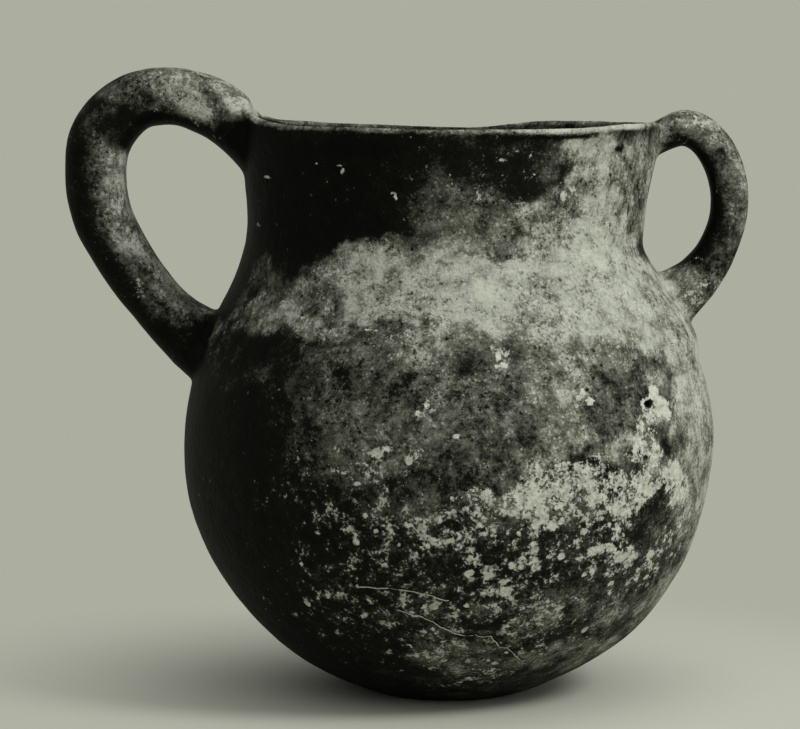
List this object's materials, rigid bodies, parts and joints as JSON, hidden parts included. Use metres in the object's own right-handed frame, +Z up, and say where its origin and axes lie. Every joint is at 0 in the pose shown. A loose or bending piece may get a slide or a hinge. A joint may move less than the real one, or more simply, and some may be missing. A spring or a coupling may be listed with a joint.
{
  "type": "two-handled pottery jar",
  "caption": "Round-bodied hand-built pottery jar with a short wide neck, a thick loop handle on one side and a slim one on the other.",
  "frame": {"origin": "centre of the small flat that the jar rests on, under its axis", "axes": "+Z up along the jar's axis; -X towards the large handle and +X towards the small one; -Y towards the viewer of the picture"},
  "size_m": [0.2856, 0.221, 0.2624],
  "materials": {
    "base_clay": "burnished, smoke-blackened",
    "wall_clay": "burnished slip, mottled, with lime crust",
    "neck_clay": "burnished, smoke-blackened",
    "handle_clay": "smoothed slip, worn"
  },
  "bodies": {
    "root": {"base_bowl": "base_clay", "lower_wall_band": "wall_clay", "belly_band": "wall_clay", "upper_wall_band": "wall_clay", "shoulder_band": "wall_clay", "neck_band": "neck_clay", "rim_band": "neck_clay", "large_handle": "handle_clay", "small_handle": "handle_clay", "large_handle_top_luting": "handle_clay", "large_handle_lower_luting": "handle_clay", "small_handle_top_luting": "handle_clay", "small_handle_lower_luting": "handle_clay"}
  },
  "joints": []
}
